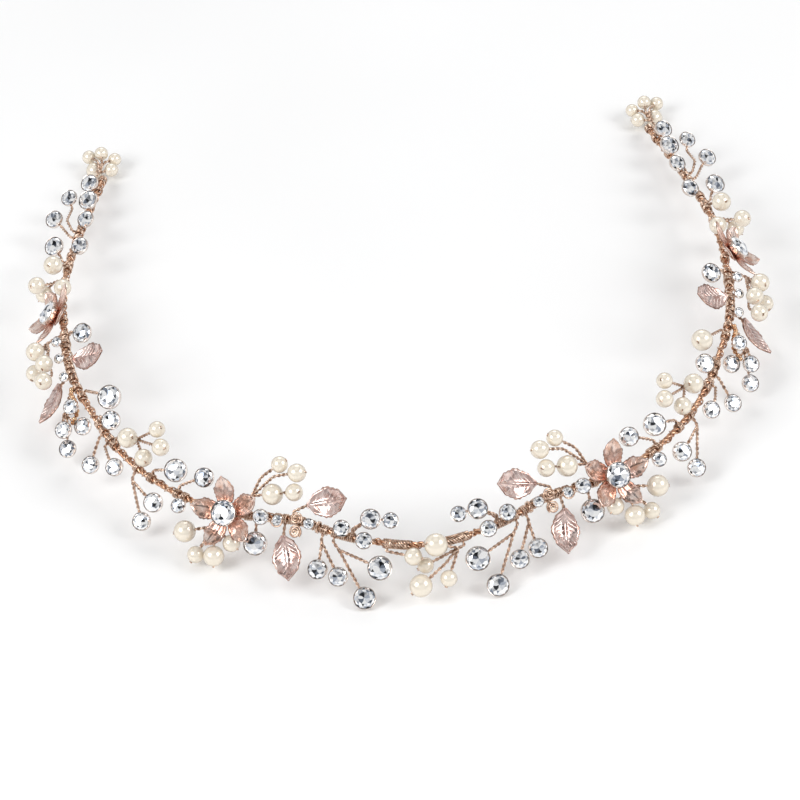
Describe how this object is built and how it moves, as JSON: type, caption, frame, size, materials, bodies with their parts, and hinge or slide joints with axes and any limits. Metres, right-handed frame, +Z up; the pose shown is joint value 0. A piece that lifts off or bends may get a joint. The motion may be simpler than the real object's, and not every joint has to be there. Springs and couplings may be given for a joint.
{
  "type": "hair vine",
  "caption": "Rose-gold wire hair vine bent into a C, with round crystals in cups, pearls, leaves, flowers and small coils on short twisted stems.",
  "frame": {"origin": "centre of the bounding box in X and Y, at the lowest point, on the surface that the vine rests on", "axes": "+X to the wearer's left as seen from the front, +Y from the front centre towards the open ends, +Z up, away from the surface"},
  "size_m": [0.1712, 0.1834, 0.024],
  "materials": {
    "rose_gold_wire": "polished rose-gold plated twisted wire",
    "stem_wire": "polished rose-gold plated thin wire and cups",
    "leaf": "stamped rose-gold plated sheet",
    "flower": "stamped rose-gold plated sheet",
    "crystal": "clear cut glass with a foiled back",
    "pearl": "ivory pearl coating, glossy"
  },
  "bodies": {
    "root": {"main_wire": "rose_gold_wire", "centre_wires": "stem_wire", "centre_pearls": "pearl", "mixed_pearl_right": "pearl", "front_sprig_wires_right": "stem_wire", "front_sprig_wires_left": "stem_wire", "front_sprig_crystals_right": "crystal", "front_sprig_crystals_left": "crystal", "front_leaves_right": "leaf", "front_leaves_left": "leaf", "front_spray_wires_right": "stem_wire", "front_spray_wires_left": "stem_wire", "front_spray_crystals_right": "crystal", "front_spray_crystals_left": "crystal", "front_pearl_wires_right": "stem_wire", "front_pearl_wires_left": "stem_wire", "front_berry_pearls_right": "pearl", "front_berry_pearls_left": "pearl", "front_drop_pearls_right": "pearl", "front_drop_pearls_left": "pearl", "front_flower_right": "flower", "front_flower_left": "flower", "front_flower_crystal_right": "crystal", "front_flower_crystal_left": "crystal", "bend_wires_right": "stem_wire", "bend_wires_left": "stem_wire", "bend_crystals_right": "crystal", "bend_crystals_left": "crystal", "outer_berry_wires_right": "stem_wire", "outer_berry_wires_left": "stem_wire", "outer_berry_pearls_right": "pearl", "outer_berry_pearls_left": "pearl", "side_sprig_wires_right": "stem_wire", "side_sprig_wires_left": "stem_wire", "side_sprig_crystals_right": "crystal", "side_sprig_crystals_left": "crystal", "side_leaves_right": "leaf", "side_leaves_left": "leaf", "side_spray_wires_right": "stem_wire", "side_spray_wires_left": "stem_wire", "side_spray_crystals_right": "crystal", "side_spray_crystals_left": "crystal", "side_pearl_wires_right": "stem_wire", "side_pearl_wires_left": "stem_wire", "side_drop_pearls_right": "pearl", "side_drop_pearls_left": "pearl", "back_drop_pearls_right": "pearl", "back_drop_pearls_left": "pearl", "side_flower_right": "flower", "side_flower_left": "flower", "side_flower_crystal_right": "crystal", "side_flower_crystal_left": "crystal", "end_wires_right": "stem_wire", "end_wires_left": "stem_wire", "end_crystals_right": "crystal", "end_crystals_left": "crystal", "end_pearls_right": "pearl", "end_pearls_left": "pearl"}
  },
  "joints": []
}
